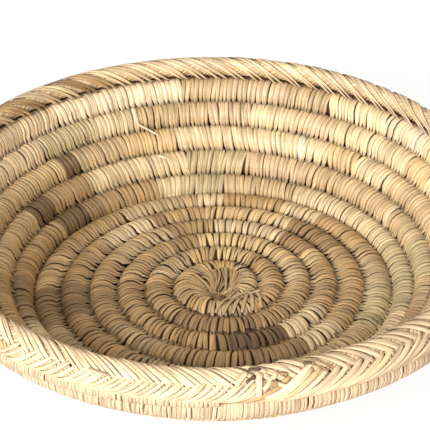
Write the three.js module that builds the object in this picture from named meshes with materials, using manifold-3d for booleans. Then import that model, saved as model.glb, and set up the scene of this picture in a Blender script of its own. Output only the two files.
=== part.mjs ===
// A coiled Moroccan bread basket: one long bundle of palm leaf ribs winds from the middle of
// the floor up to the rim. Leaf strips wrap it and bind each coil to the one before, and a
// plaited border closes the rim over the bundle's tapered end.
// Millimetres, +Z up. The viewer stands on the -Y side, and side angles run anticlockwise from +X.

import * as THREE from "three";
import { mergeVertices } from "three/addons/utils/BufferGeometryUtils.js";
import Module from "manifold-3d";

const wasm = await Module();
wasm.setup();

const TURN = 2 * Math.PI;
const { cos, sin, min, max, round } = Math;

// The spiral of coils
const coilPitch = 16.5; // from one groove to the next
const coilGap = 0.4; // air between one wrapped coil and the next
const coilDrop = 1.8; // the coils' centres lie this far under the surface that the grooves draw
const curlRadius = 5.5; // the curl in the middle that the first coil goes round
const wrapThickness = coilPitch / 13.75; // the layers of leaf strip round the bundle
const fitGap = 0.3; // between pieces that touch
const startTurn = -2 / 3; // where the bundle leaves the curl, counted in turns
const tailTurn = 10.5; // where its last end begins to taper
const taperTurns = 0.25; // it tapers over this much of a turn
const endTurn = tailTurn + taperTurns;
const tailShare = 0.34; // the thickness left at the very end

// The bowl that the spiral draws
const flatRun = 104; // the flat floor's reach, along the surface from the middle
const bendRun = 12; // the rounded foot between the floor and the wall
const footAngle = THREE.MathUtils.degToRad(40.9); // the wall's slope just above the foot
const rimAngle = THREE.MathUtils.degToRad(47.5); // and its slope at the rim
const leanAngle = THREE.MathUtils.degToRad(4.6); // the back stands this much steeper, the front shallower
const offCentreX = 4.3; // the spiral's middle lies off the rim's axis
const offCentreY = 5.6;

// The plaited border
const borderHalfWidth = 8.9; // across the band
const borderHalfThickness = 5.8;
const borderTilt = THREE.MathUtils.degToRad(128); // its width leans inwards this far up from the outside
const borderRise = 14.35; // its middle's height over the middle of the coil that it rides on
const borderSetOut = 3.9; // and how far out from it
const borderJoin = THREE.MathUtils.degToRad(278.5); // where the plait's two ends meet
const borderSections = 8;

// Counts of steps and sides
const stepsPerTurn = 24;
const wrapSides = 10;
const bundleSides = 6;
const borderSides = 14;
const borderSteps = 5; // in each section
const floorWraps = 13;
const wallWraps = 31;

// Strip ends that have come loose inside the back wall, each a route over the coils
const stripWidth = 2.6;
const stripThickness = 0.6;
const looseStrips = {
  loose_strip_long: [
    { run: 173.8, side: 111 },
    { run: 162.3, side: 110.8 },
    { run: 153.1, side: 106.2 },
  ],
  loose_strip_stub: [
    { run: 139, side: 107.4 },
    { run: 136, side: 104.3 },
  ],
};

// Colours of the dried leaf
const leaf = {
  straw: 0xe0cb9c,
  gold: 0xd8b473,
  tan: 0xc09b69,
  brown: 0x8c6544,
  dark: 0x4f3527,
  green: 0xa9a179,
  pink: 0xcfae92,
};
const floorTones = [
  ["tan", "straw", "tan", "gold", "dark", "tan"],
  ["dark", "brown", "tan", "pink", "brown", "dark", "tan"],
].flat();
const wallTones = [
  ["pink", "tan", "gold", "brown", "straw", "tan"],
  ["pink", "green", "gold", "dark", "tan", "straw"],
  ["straw", "gold", "straw", "dark", "gold", "pink"],
  ["straw", "brown", "gold", "green", "tan", "gold"],
  ["gold", "pink", "straw", "gold", "tan", "straw", "straw"],
].flat();

const stepAngle = TURN / stepsPerTurn;
const fullWidth = coilPitch - coilGap;

// Distance along the surface from the middle to the groove on a coil's outer edge.
function grooveRun(angle) {
  return curlRadius + coilGap / 2 + coilPitch * (1 + angle / TURN);
}

const rimRun = grooveRun(tailTurn * TURN);

function clamp01(value) {
  return THREE.MathUtils.clamp(value, 0, 1);
}

// The surface's slope at a distance from the middle, on one side of the bowl.
function slopeAt(run, side) {
  const bend = clamp01((run - flatRun) / bendRun);
  const rise = (run - flatRun) / (rimRun - flatRun);
  return bend * (footAngle + (rimAngle - footAngle) * rise + leanAngle * sin(side));
}

// A point of the groove surface with the directions along the slope and up out of it.
function surfaceFrame(run, side) {
  const flat = min(run, flatRun);
  const slices = 60;
  const slice = (run - flat) / slices;
  let reach = flat;
  let height = 0;
  for (let i = 0; i < slices; i++) {
    const slope = slopeAt(flat + (i + 0.5) * slice, side);
    reach += slice * cos(slope);
    height += slice * sin(slope);
  }
  const slope = slopeAt(run, side);
  const shift = clamp01(1 - run / rimRun);
  const x = offCentreX * shift + reach * cos(side);
  const y = offCentreY * shift + reach * sin(side);
  return {
    centre: new THREE.Vector3(x, y, height),
    along: new THREE.Vector3(cos(side) * cos(slope), sin(side) * cos(slope), sin(slope)),
    up: new THREE.Vector3(-cos(side) * sin(slope), -sin(side) * sin(slope), cos(slope)),
  };
}

// Where the coil's two edges run at an angle of the spiral: it thins out to both of its ends.
function coilEdges(angle) {
  const inner = max(grooveRun(angle) - coilPitch + coilGap / 2, curlRadius + coilGap);
  const outer = grooveRun(angle) - coilGap / 2;
  const tail = clamp01((angle / TURN - tailTurn) / (endTurn - tailTurn));
  const width = (outer - inner) * (1 - tail * (1 - tailShare));
  return { inner, outer: inner + width, share: width / fullWidth };
}

// The middle of the coil with its half width and half height.
function coilFrame(angle) {
  const edges = coilEdges(angle);
  const side = angle % TURN;
  const frame = surfaceFrame((edges.inner + edges.outer) / 2, side);
  const innerEdge = surfaceFrame(edges.inner, side).centre;
  const outerEdge = surfaceFrame(edges.outer, side).centre;
  frame.centre.addScaledVector(frame.up, -coilDrop);
  frame.halfWidth = innerEdge.distanceTo(outerEdge) / 2;
  frame.halfHeight = (edges.share * fullWidth) / 2;
  return frame;
}

// The steps of the spiral where its stretches begin and end.
const firstStep = round((startTurn * TURN) / stepAngle);
const tailStep = round((tailTurn * TURN) / stepAngle);
const lastStep = round((endTurn * TURN) / stepAngle);
const footStep = round(((flatRun - grooveRun(0) + coilPitch / 2) / coilPitch) * stepsPerTurn);

// The basket stands on the flats of its floor coils.
const floorLevel = -coilDrop - (fullWidth / 2) * cos(Math.PI / wrapSides);

// A regular section in a frame's own plane.
function section(sides, halfWidth, halfHeight) {
  return Array.from({ length: sides }, (_, i) => {
    const turn = (i * TURN) / sides;
    return new THREE.Vector2(halfWidth * cos(turn), halfHeight * sin(turn));
  });
}

// Half the size of the hole through the wraps, from half the size of the wrapped coil.
function boreSize(half) {
  return half * cos(Math.PI / wrapSides) - wrapThickness;
}

function bundleSize(half) {
  return boreSize(half) - fitGap / cos(Math.PI / bundleSides);
}

// Puts a flat section into space on a frame. Nothing reaches below the floor level.
function ringOn(frame, points) {
  return points.map((p) => {
    const point = frame.centre.clone().addScaledVector(frame.along, p.x).addScaledVector(frame.up, p.y);
    point.z = max(point.z, floorLevel);
    return point;
  });
}

// One closed solid swept through rings of points, with a hole through it if inner rings are given.
function sweep(outerRings, innerRings, capPoints, capHole) {
  const places = [];
  const add = (point) => places.push(point.x, point.y, point.z);
  const skin = (rings, inward) => {
    for (let j = 0; j + 1 < rings.length; j++) {
      const sides = rings[j].length;
      for (let i = 0; i < sides; i++) {
        const next = (i + 1) % sides;
        const corners = [rings[j][i], rings[j + 1][i], rings[j + 1][next], rings[j][next]];
        const order = inward ? [0, 2, 1, 0, 3, 2] : [0, 1, 2, 0, 2, 3];
        order.forEach((k) => add(corners[k]));
      }
    }
  };
  skin(outerRings, false);
  skin(innerRings, true);
  const capFaces = THREE.ShapeUtils.triangulateShape(capPoints, capHole.length ? [capHole] : []);
  const cap = (outer, inner, turned) => {
    const corners = [...outer, ...inner];
    capFaces.forEach((face) => (turned ? [...face].reverse() : face).forEach((k) => add(corners[k])));
  };
  cap(outerRings[0], innerRings[0] ?? [], false);
  cap(outerRings.at(-1), innerRings.at(-1) ?? [], true);
  const geometry = new THREE.BufferGeometry();
  geometry.setAttribute("position", new THREE.Float32BufferAttribute(places, 3));
  return geometry;
}

// The angles that a piece of coil steps through, its ends drawn in by half a joint.
function stepsBetween(first, last, drawnIn) {
  const angles = [];
  for (let step = first; step <= last; step++) angles.push(step * stepAngle);
  const reach = (angle) => (coilEdges(angle).inner + coilEdges(angle).outer) / 2;
  angles[0] += drawnIn / reach(angles[0]);
  angles[angles.length - 1] -= drawnIn / reach(angles.at(-1));
  return angles;
}

// The foundation: one unbroken tapering bundle.
function bundleGeometry(first, last) {
  const rings = stepsBetween(first, last, 0).map((angle) => {
    const frame = coilFrame(angle);
    return ringOn(frame, section(bundleSides, bundleSize(frame.halfWidth), bundleSize(frame.halfHeight)));
  });
  printLeastGap(rings);
  return sweep(rings, [], section(bundleSides, 1, 1), []);
}

// Measures on points how near the bundle comes to itself, half a turn or more further on.
function printLeastGap(rings) {
  let least = Infinity;
  rings.forEach((ring, j) => {
    for (const other of rings.slice(j + stepsPerTurn / 2)) {
      for (const a of ring) for (const b of other) least = min(least, a.distanceTo(b));
    }
  });
  console.log("least gap of the bundle to itself: " + least.toFixed(2) + " mm");
}

// A sleeve of leaf wraps round a stretch of the bundle.
function wrapGeometry(first, last) {
  const frames = stepsBetween(first, last, fitGap / 2).map(coilFrame);
  const outer = frames.map((f) => ringOn(f, section(wrapSides, f.halfWidth, f.halfHeight)));
  const bore = (f) => section(bundleSides, boreSize(f.halfWidth), boreSize(f.halfHeight));
  const inner = frames.map((f) => ringOn(f, bore(f)));
  const middle = frames[1];
  return sweep(outer, inner, section(wrapSides, middle.halfWidth, middle.halfHeight), bore(middle));
}

// A stretch of coil grown by the fit gap, to cut room for it out of the border.
function coilCutter(first, last) {
  const grown = stepsBetween(first, last, -fitGap).map((angle) => {
    const frame = coilFrame(angle);
    return ringOn(frame, section(wrapSides, frame.halfWidth + fitGap, frame.halfHeight + fitGap));
  });
  return solidOf(sweep(grown, [], section(wrapSides, 1, 1), []));
}

function solidOf(geometry) {
  const merged = mergeVertices(geometry);
  return new wasm.Manifold(
    new wasm.Mesh({
      numProp: 3,
      vertProperties: merged.attributes.position.array,
      triVerts: new Uint32Array(merged.index.array),
    }),
  );
}

function geometryOf(solid) {
  const mesh = solid.getMesh();
  const geometry = new THREE.BufferGeometry();
  geometry.setAttribute("position", new THREE.BufferAttribute(mesh.vertProperties, 3));
  geometry.setIndex(new THREE.BufferAttribute(mesh.triVerts, 1));
  return geometry;
}

// The border's centre line rides on the last coil, and steps down a coil where that one tapers out.
function borderFrame(angle) {
  const side = ((angle % TURN) + TURN) % TURN;
  const tailSide = (tailTurn % 1) * TURN;
  const endSide = (endTurn % 1) * TURN;
  const down = clamp01((side - tailSide) / (endSide - tailSide));
  const lastTurn = Math.floor(tailTurn) * TURN;
  const run = grooveRun(lastTurn + side) - coilPitch * (0.5 + down);
  const frame = surfaceFrame(run, side);
  frame.centre.addScaledVector(frame.up, -coilDrop);
  frame.along.set(cos(side), sin(side), 0);
  frame.up.set(0, 0, 1);
  frame.centre.addScaledVector(frame.along, borderSetOut);
  frame.centre.z += borderRise;
  return frame;
}

// The band's section: flatter than it is wide, and leaning with its face up and outwards.
function borderSection() {
  const middle = new THREE.Vector2();
  return section(borderSides, borderHalfWidth, borderHalfThickness).map((p) => p.rotateAround(middle, borderTilt));
}

// A section of the plaited border, hollowed where it sits on the coils.
function borderGeometry(index) {
  const span = TURN / borderSections;
  const start = borderJoin + index * span;
  const reach = borderFrame(start).centre.length();
  const first = start + fitGap / 2 / reach;
  const last = start + span - fitGap / 2 / reach;
  const profile = borderSection();
  const rings = [];
  for (let i = 0; i <= borderSteps; i++) {
    rings.push(ringOn(borderFrame(first + ((last - first) * i) / borderSteps), profile));
  }
  let solid = solidOf(sweep(rings, [], profile, []));
  const lowestTurn = Math.floor(tailTurn) - 2;
  for (let turn = lowestTurn; turn < endTurn; turn++) {
    const from = Math.floor(((start % TURN) + turn * TURN) / stepAngle) - 1;
    const to = min(from + stepsPerTurn / borderSections + 3, lastStep);
    if (to - from > 0) solid = solid.subtract(coilCutter(from, to));
  }
  return geometryOf(solid);
}

// The curl in the middle fills the space inside the first coil, up to the bundle's end.
function curlGeometry() {
  const bevel = wrapThickness;
  const height = fullWidth * cos(Math.PI / wrapSides);
  const startSide = (startTurn + 1) * TURN;
  const outline = [];
  for (let step = 0; step < stepsPerTurn; step++) {
    const angle = step * stepAngle;
    const edge = angle < startSide ? coilEdges(angle).inner - coilGap : curlRadius;
    outline.push(new THREE.Vector2((edge - bevel) * cos(angle), (edge - bevel) * sin(angle)));
  }
  const geometry = new THREE.ExtrudeGeometry(new THREE.Shape(outline), {
    depth: height - 2 * bevel,
    bevelThickness: bevel,
    bevelSize: bevel,
    bevelSegments: 2,
  });
  const shift = 1 - curlRadius / rimRun;
  geometry.translate(offCentreX * shift, offCentreY * shift, floorLevel + bevel);
  geometry.deleteAttribute("normal");
  geometry.deleteAttribute("uv");
  const cutters = [coilCutter(firstStep, 0), coilCutter(0, stepsPerTurn)];
  return geometryOf(cutters.reduce((solid, cutter) => solid.subtract(cutter), solidOf(geometry)));
}

// A point on the crests of the coils as they are faceted, lifted clear of them.
function crestPoint(run, side, lift) {
  const before = Math.floor(side / stepAngle) * stepAngle;
  const share = (side - before) / stepAngle;
  const crest = fullWidth / 2 - coilDrop + lift;
  const at = (angle) => {
    const frame = surfaceFrame(run, angle);
    return frame.centre.addScaledVector(frame.up, crest);
  };
  return at(before).lerp(at(before + stepAngle), share);
}

// A flat strip end lying over the coils.
function looseStripGeometry(route) {
  const places = route.map(({ run, side }) => crestPoint(run, THREE.MathUtils.degToRad(side), fitGap));
  const frames = route.map(({ run, side }, i) => {
    const { up } = surfaceFrame(run, THREE.MathUtils.degToRad(side));
    const travel = places[min(i + 1, places.length - 1)].clone().sub(places[max(i - 1, 0)]).normalize();
    return { centre: places[i], along: new THREE.Vector3().crossVectors(travel, up).normalize(), up };
  });
  const half = stripWidth / 2;
  const profile = [
    new THREE.Vector2(half, 0),
    new THREE.Vector2(half, stripThickness),
    new THREE.Vector2(-half, stripThickness),
    new THREE.Vector2(-half, 0),
  ];
  return sweep(frames.map((frame) => ringOn(frame, profile)), [], profile, []);
}

const basket = new THREE.Group();

function addPiece(name, geometry, color, roughness) {
  const material = new THREE.MeshStandardMaterial({ color, roughness, metalness: 0 });
  const mesh = new THREE.Mesh(geometry, material);
  mesh.name = name;
  basket.add(mesh);
  return mesh;
}

// Wraps of equal length between two steps of the spiral.
function addWraps(name, first, last, count, tones) {
  const stepOf = (i) => first + round(((last - first) * i) / count);
  for (let i = 0; i < count; i++) {
    const label = name + "_" + String(i + 1).padStart(2, "0");
    addPiece(label, wrapGeometry(stepOf(i), stepOf(i + 1)), leaf[tones[i]], 0.7);
  }
}

addPiece("start_curl", curlGeometry(), leaf.tan, 0.75);
addPiece("foundation_bundle", bundleGeometry(firstStep, lastStep), leaf.tan, 0.85);
addWraps("floor_wrap", firstStep, footStep, floorWraps, floorTones);
addWraps("wall_wrap", footStep, tailStep, wallWraps, wallTones);
addWraps("tail_wrap", tailStep, lastStep, 1, ["straw"]);
for (let i = 0; i < borderSections; i++) {
  addPiece("border_plait_" + (i + 1), borderGeometry(i), leaf.straw, 0.65);
}
for (const [name, route] of Object.entries(looseStrips)) {
  addPiece(name, looseStripGeometry(route), leaf.straw, 0.65);
}

// The origin goes to the middle of the basket's foot.
const bounds = new THREE.Box3().setFromObject(basket);
const middle = bounds.getCenter(new THREE.Vector3());
basket.position.set(-middle.x, -middle.y, -bounds.min.z);

export default basket;
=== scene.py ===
import math
import random

import bpy
from mathutils import Matrix, Vector


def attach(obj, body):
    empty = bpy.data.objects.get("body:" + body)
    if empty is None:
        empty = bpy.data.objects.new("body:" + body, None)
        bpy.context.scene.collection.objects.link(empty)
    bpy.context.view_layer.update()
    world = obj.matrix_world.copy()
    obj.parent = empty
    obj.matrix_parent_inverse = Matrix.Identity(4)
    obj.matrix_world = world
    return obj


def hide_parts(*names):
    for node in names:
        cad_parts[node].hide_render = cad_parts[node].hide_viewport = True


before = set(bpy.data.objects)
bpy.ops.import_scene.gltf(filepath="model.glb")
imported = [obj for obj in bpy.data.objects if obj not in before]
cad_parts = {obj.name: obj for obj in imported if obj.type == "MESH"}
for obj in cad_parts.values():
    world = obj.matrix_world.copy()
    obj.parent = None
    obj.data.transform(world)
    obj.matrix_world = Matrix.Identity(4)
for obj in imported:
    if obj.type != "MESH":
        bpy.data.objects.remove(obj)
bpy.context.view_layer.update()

scene = bpy.context.scene
fullTurn = 2 * math.pi
mm = 0.001

# The spiral, the bowl it draws and its place in the frame, all as in the solid model
coil = {
    "pitch": 16.5 * mm,
    "gap": 0.4 * mm,
    "drop": 1.8 * mm,
    "curlRadius": 5.5 * mm,
    "startTurn": -2 / 3,
    "tailTurn": 10.5,
    "endTurn": 10.75,
    "tailShare": 0.34,
    "stepsPerTurn": 24,
    "floorWraps": 13,
    "wallWraps": 31,
}
bowl = {
    "flatRun": 104 * mm,
    "bendRun": 12 * mm,
    "footAngle": math.radians(40.9),
    "rimAngle": math.radians(47.5),
    "leanAngle": math.radians(4.6),
    "offCentre": (4.3 * mm, 5.6 * mm),
    "place": (2.53 * mm, 0.59 * mm, 9.46 * mm),
}
border = {
    "halfWidth": 8.9 * mm,
    "halfThickness": 5.8 * mm,
    "tilt": math.radians(128),  # which way the band's width points, up from the outside
    "rise": 14.35 * mm,
    "setOut": 3.9 * mm,
    "join": math.radians(278.5),
    "sections": 8,
}

# Dried leaf colours, as they look in plain light; the band's tone, the pale leaf on the front's outside, is
# painted darker, as shade against the strong light that falls there
leafTones = {
    "white": (240, 224, 192),
    "cream": (238, 213, 174),
    "straw": (232, 204, 159),
    "gold": (225, 191, 138),
    "tan": (200, 163, 113),
    "pink": (216, 184, 144),
    "beige": (208, 177, 132),
    "green": (208, 185, 139),
    "brown": (170, 136, 94),
    "dark": (126, 97, 66),
    "border": (227, 197, 158),
    "band": (198, 169, 136),
}

# Which tone each coil shows on its way round: (up to this side in degrees, tone), from the spiral's start
leafRuns = {
    0: [(275, "tan"), (360, "gold")],
    1: [(60, "beige"), (250, "tan"), (300, "beige"), (360, "tan")],
    2: [(50, "tan"), (95, "gold"), (118, "tan"), (170, "beige"), (230, "tan"), (300, "brown"), (360, "tan")],
    3: [(25, "beige"), (105, "gold"), (125, "brown"), (265, "tan"), (272, "brown"), (305, "dark"),
        (335, "straw"), (360, "tan")],
    4: [(18, "tan"), (30, "gold"), (52, "brown"), (92, "straw"), (108, "tan"), (118, "brown"),
        (160, "beige"), (215, "tan"), (240, "beige"), (275, "tan"), (306, "brown"), (325, "straw"),
        (360, "tan")],
    5: [(28, "tan"), (55, "brown"), (62, "straw"), (95, "gold"), (112, "tan"), (120, "brown"),
        (145, "straw"), (178, "tan"), (199, "brown"), (240, "tan"), (272, "beige"), (290, "tan"),
        (330, "beige"), (360, "green")],
    6: [(22, "beige"), (48, "tan"), (64, "straw"), (88, "tan"), (97, "straw"), (126, "beige"),
        (160, "tan"), (182, "gold"), (204, "brown"), (260, "beige"), (310, "tan"), (342, "straw"),
        (360, "green")],
    7: [(20, "green"), (62, "straw"), (87, "beige"), (101, "green"), (110, "straw"), (130, "tan"),
        (137, "brown"), (148, "dark"), (182, "tan"), (204, "brown"), (262, "straw"), (338, "tan"),
        (352, "beige"), (360, "green")],
    # on coil 8 the cream stretch up to 29 degrees is a painted glint
    8: [(12, "green"), (26, "beige"), (29, "cream"), (62, "beige"), (80, "pink"), (98, "green"),
        (130, "straw"), (145, "tan"), (153, "dark"), (185, "gold"), (230, "tan"), (275, "straw"),
        (320, "gold"), (360, "pink")],
    # on coil 9 the short white stretch up to 65.6 degrees is a painted glint
    9: [(10, "gold"), (33, "beige"), (47, "straw"), (56, "gold"), (64.4, "straw"), (65.6, "white"),
        (100, "straw"), (115, "gold"), (130, "beige"), (135, "dark"), (170, "gold"), (215, "tan"),
        (270, "straw"), (330, "gold"), (360, "straw")],
    10: [(24, "straw"), (32, "gold"), (58, "straw"), (70, "pink"), (80, "straw"), (91, "pink"),
         (110, "beige"), (122, "straw"), (138, "green"), (190, "straw"), (200, "gold"), (345, "band"),
         (360, "gold")],
    11: [(30, "straw"), (44, "cream"), (60, "straw"), (72, "beige"), (86, "pink"), (97, "beige"),
         (130, "cream"), (152, "straw"), (172, "gold"), (290, "band")],
}


def toneColor(tone, shade=1.0):
    # sRGB to linear, with a little more or less light
    return [min(1.0, shade * ((c / 255 + 0.055) / 1.055) ** 2.4) for c in leafTones[tone]]


def toneAt(angle):
    runs = leafRuns[min(max(leafRuns), math.floor(angle / fullTurn) + 1)]
    side = math.degrees(angle % fullTurn)
    for until, tone in runs:
        if side <= until:
            return tone
    return runs[-1][1]


def clampShare(value):
    return max(0.0, min(1.0, value))


def between(pair, share):
    return pair[0] + (pair[1] - pair[0]) * share


def smoothShare(value):
    value = clampShare(value)
    return value * value * (3 - 2 * value)


def grooveRun(angle):
    return coil["curlRadius"] + coil["gap"] / 2 + coil["pitch"] * (1 + angle / fullTurn)


rimRun = grooveRun(coil["tailTurn"] * fullTurn)
fullWidth = coil["pitch"] - coil["gap"]


def slopeAt(run, side):
    bend = clampShare((run - bowl["flatRun"]) / bowl["bendRun"])
    rise = (run - bowl["flatRun"]) / (rimRun - bowl["flatRun"])
    steepness = bowl["footAngle"] + (bowl["rimAngle"] - bowl["footAngle"]) * rise
    return bend * (steepness + bowl["leanAngle"] * math.sin(side))


# A point of the surface that the grooves draw, with the ways along the slope, up out of it and round the bowl
def surfaceFrame(run, side):
    flat = min(run, bowl["flatRun"])
    slices = 24
    piece = (run - flat) / slices
    reach = flat
    height = 0.0
    if piece > 0:
        for i in range(slices):
            slope = slopeAt(flat + (i + 0.5) * piece, side)
            reach += piece * math.cos(slope)
            height += piece * math.sin(slope)
    slope = slopeAt(run, side)
    shift = clampShare(1 - run / rimRun)
    out = Vector((math.cos(side), math.sin(side), 0))
    centre = Vector(bowl["place"]) + out * reach
    centre.x += bowl["offCentre"][0] * shift
    centre.y += bowl["offCentre"][1] * shift
    centre.z += height
    along = out * math.cos(slope) + Vector((0, 0, math.sin(slope)))
    up = -out * math.sin(slope) + Vector((0, 0, math.cos(slope)))
    return {"centre": centre, "reach": reach, "along": along, "up": up, "round": Vector((-out.y, out.x, 0))}


# The middle of the coil at an angle of the spiral, with its half width
def coilFrame(angle):
    inner = max(grooveRun(angle) - coil["pitch"] + coil["gap"] / 2, coil["curlRadius"] + coil["gap"])
    outer = grooveRun(angle) - coil["gap"] / 2
    tail = clampShare((angle / fullTurn - coil["tailTurn"]) / (coil["endTurn"] - coil["tailTurn"]))
    width = (outer - inner) * (1 - tail * (1 - coil["tailShare"]))
    at = surfaceFrame(inner + width / 2, angle % fullTurn)
    at["centre"] -= at["up"] * coil["drop"]
    at["half"] = width / 2
    return at


def borderFrame(angle):
    side = angle % fullTurn
    tailSide = (coil["tailTurn"] % 1) * fullTurn
    endSide = (coil["endTurn"] % 1) * fullTurn
    down = clampShare((side - tailSide) / (endSide - tailSide))
    lastTurn = math.floor(coil["tailTurn"]) * fullTurn
    at = surfaceFrame(grooveRun(lastTurn + side) - coil["pitch"] * (0.5 + down), side)
    at["centre"] -= at["up"] * coil["drop"]
    at["along"] = Vector((math.cos(side), math.sin(side), 0))
    at["up"] = Vector((0, 0, 1))
    at["centre"] += at["along"] * border["setOut"] + at["up"] * border["rise"]
    at["width"] = at["along"] * math.cos(border["tilt"]) + at["up"] * math.sin(border["tilt"])
    at["face"] = at["along"] * math.sin(border["tilt"]) - at["up"] * math.cos(border["tilt"])
    return at


# One flat leaf strip, modelled straight: 1 wide, 1 long and 1 high, narrower at the top
def strandModel(rows, topShare):
    bpy.ops.object.select_all(action="DESELECT")
    bpy.ops.mesh.primitive_cube_add(size=1, location=(0, 0, 0.5))
    bpy.ops.object.transform_apply(location=True)
    strand = bpy.context.object
    corners = strand.data.vertices
    bpy.ops.object.mode_set(mode="EDIT")
    bpy.ops.mesh.select_mode(type="VERT")
    bpy.ops.mesh.select_all(action="DESELECT")
    bpy.ops.object.mode_set(mode="OBJECT")
    for corner in corners:
        corner.select = corner.co.z > 0.5
    bpy.ops.object.mode_set(mode="EDIT")
    bpy.ops.transform.resize(value=(topShare, 1, 1), center_override=(0, 0, 1))
    bpy.ops.mesh.select_mode(type="EDGE")
    bpy.ops.mesh.select_all(action="DESELECT")
    bpy.ops.object.mode_set(mode="OBJECT")
    for edge in strand.data.edges:
        edge.select = abs(corners[edge.vertices[0]].co.y - corners[edge.vertices[1]].co.y) > 0.9
    bpy.ops.object.mode_set(mode="EDIT")
    bpy.ops.mesh.subdivide(number_cuts=rows - 1)
    bpy.ops.object.mode_set(mode="OBJECT")
    points = [corner.co.copy() for corner in corners]
    faces = [tuple(face.vertices) for face in strand.data.polygons]
    tops = [all(points[i].z > 0.5 for i in face) for face in faces]
    bpy.data.objects.remove(strand)
    return {"points": points, "faces": faces, "tops": tops, "rows": rows}


# Collects bent copies of the strand for one piece
class StrandPile:
    def __init__(self):
        self.points = []
        self.faces = []
        self.tops = []
        self.fibre = []
        self.colors = []

    # path rows: centre, side way, outward way, width, crown height, shade
    def lay(self, model, path, color, paintedEdgeShade):
        start = len(self.points)
        offset = random.uniform(0, 1)
        lengths = [0.0]
        for a, b in zip(path, path[1:]):
            lengths.append(lengths[-1] + (b[0] - a[0]).length)
        for point in model["points"]:
            row = int(round((point.y + 0.5) * model["rows"]))
            centre, sideways, outward, width, crown, shade = path[row]
            place = centre + sideways * (point.x * width) + outward * (point.z * crown)
            place.z = max(place.z, 0.0)
            self.points.append(place)
            self.fibre.append((lengths[row], point.x * width + offset))
            # painted shade: the strand's lower corners take a darker colour, for the shade in the gaps
            # between neighbouring strips
            if point.z < 0.5:
                shade *= paintedEdgeShade
            self.colors.append([channel * shade for channel in color])
        for face in model["faces"]:
            self.faces.append(tuple(start + i for i in face))
        self.tops += model["tops"]

    def piece(self, name, material):
        mesh = bpy.data.meshes.new(name)
        mesh.from_pydata(self.points, [], self.faces)
        fibre = mesh.uv_layers.new(name="fibre")
        leafColor = mesh.color_attributes.new("leafColor", "FLOAT_COLOR", "POINT")
        for i, color in enumerate(self.colors):
            leafColor.data[i].color = (*color, 1.0)
        for loop in mesh.loops:
            fibre.data[loop.index].uv = self.fibre[loop.vertex_index]
        made = bpy.data.objects.new(name, mesh)
        scene.collection.objects.link(made)
        mesh.materials.append(material)
        for face, isTop in zip(mesh.polygons, self.tops):
            face.use_smooth = isTop  # a flat leaf: smooth along its face, sharp at its edges
        return made


def newMaterial(name):
    material = bpy.data.materials.new(name)
    material.use_nodes = True
    return material, material.node_tree.nodes, material.node_tree.links


# How far a noise makes the leaf darker and lighter, as a factor
def noiseShade(nodes, links, noise, depth, rise):
    swing = nodes.new("ShaderNodeMapRange")
    swing.inputs["From Min"].default_value = 0.3
    swing.inputs["From Max"].default_value = 0.7
    swing.inputs["To Min"].default_value = 1 - depth
    swing.inputs["To Max"].default_value = 1 + rise
    links.new(noise.outputs["Fac"], swing.inputs["Value"])
    return swing.outputs["Result"]


# Dried leaf: fibres along the strip, blotches over many strips, a faint sheen
def leafMaterial(name, look):
    material, nodes, links = newMaterial(name)
    shader = nodes["Principled BSDF"]
    shader.inputs["Roughness"].default_value = look["roughness"]
    shader.inputs["Specular IOR Level"].default_value = look["specular"]
    color = nodes.new("ShaderNodeAttribute")
    color.attribute_name = "leafColor"
    fibre = nodes.new("ShaderNodeUVMap")
    fibre.uv_map = "fibre"
    stretch = nodes.new("ShaderNodeMapping")
    stretch.inputs["Scale"].default_value = (look["fibreAlong"], look["fibreAcross"], 1)
    links.new(fibre.outputs["UV"], stretch.inputs["Vector"])
    streaks = nodes.new("ShaderNodeTexNoise")
    streaks.inputs["Scale"].default_value = 1
    streaks.inputs["Detail"].default_value = 5
    links.new(stretch.outputs["Vector"], streaks.inputs["Vector"])
    place = nodes.new("ShaderNodeTexCoord")
    blotches = nodes.new("ShaderNodeTexNoise")
    blotches.inputs["Scale"].default_value = look["blotchScale"]
    blotches.inputs["Detail"].default_value = 3
    links.new(place.outputs["Object"], blotches.inputs["Vector"])
    both = nodes.new("ShaderNodeMath")
    both.operation = "MULTIPLY"
    streakShade = noiseShade(nodes, links, streaks, look["streakDepth"], look["streakDepth"] * 0.6)
    blotchShade = noiseShade(nodes, links, blotches, look["blotchDepth"], look["blotchDepth"] * 0.5)
    links.new(streakShade, both.inputs[0])
    links.new(blotchShade, both.inputs[1])
    tint = nodes.new("ShaderNodeVectorMath")
    tint.operation = "SCALE"
    links.new(color.outputs["Color"], tint.inputs[0])
    links.new(both.outputs["Value"], tint.inputs["Scale"])
    links.new(tint.outputs["Vector"], shader.inputs["Base Color"])
    bump = nodes.new("ShaderNodeBump")
    bump.inputs["Strength"].default_value = look["bump"]
    bump.inputs["Distance"].default_value = look["bumpDepth"]
    links.new(streaks.outputs["Fac"], bump.inputs["Height"])
    links.new(bump.outputs["Normal"], shader.inputs["Normal"])
    return material


# The bundle inside, seen only as dark specks between the wraps
def bundleMaterial(name, look):
    material, nodes, links = newMaterial(name)
    shader = nodes["Principled BSDF"]
    shader.inputs["Roughness"].default_value = look["roughness"]
    shader.inputs["Specular IOR Level"].default_value = 0.1
    place = nodes.new("ShaderNodeTexCoord")
    noise = nodes.new("ShaderNodeTexNoise")
    noise.inputs["Scale"].default_value = look["scale"]
    links.new(place.outputs["Object"], noise.inputs["Vector"])
    ramp = nodes.new("ShaderNodeValToRGB")
    for element, shade in zip(ramp.color_ramp.elements, ("dark", "light")):
        element.color = [((c / 255 + 0.055) / 1.055) ** 2.4 for c in look[shade]] + [1]
    links.new(noise.outputs["Fac"], ramp.inputs["Fac"])
    links.new(ramp.outputs["Color"], shader.inputs["Base Color"])
    return material


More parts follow.
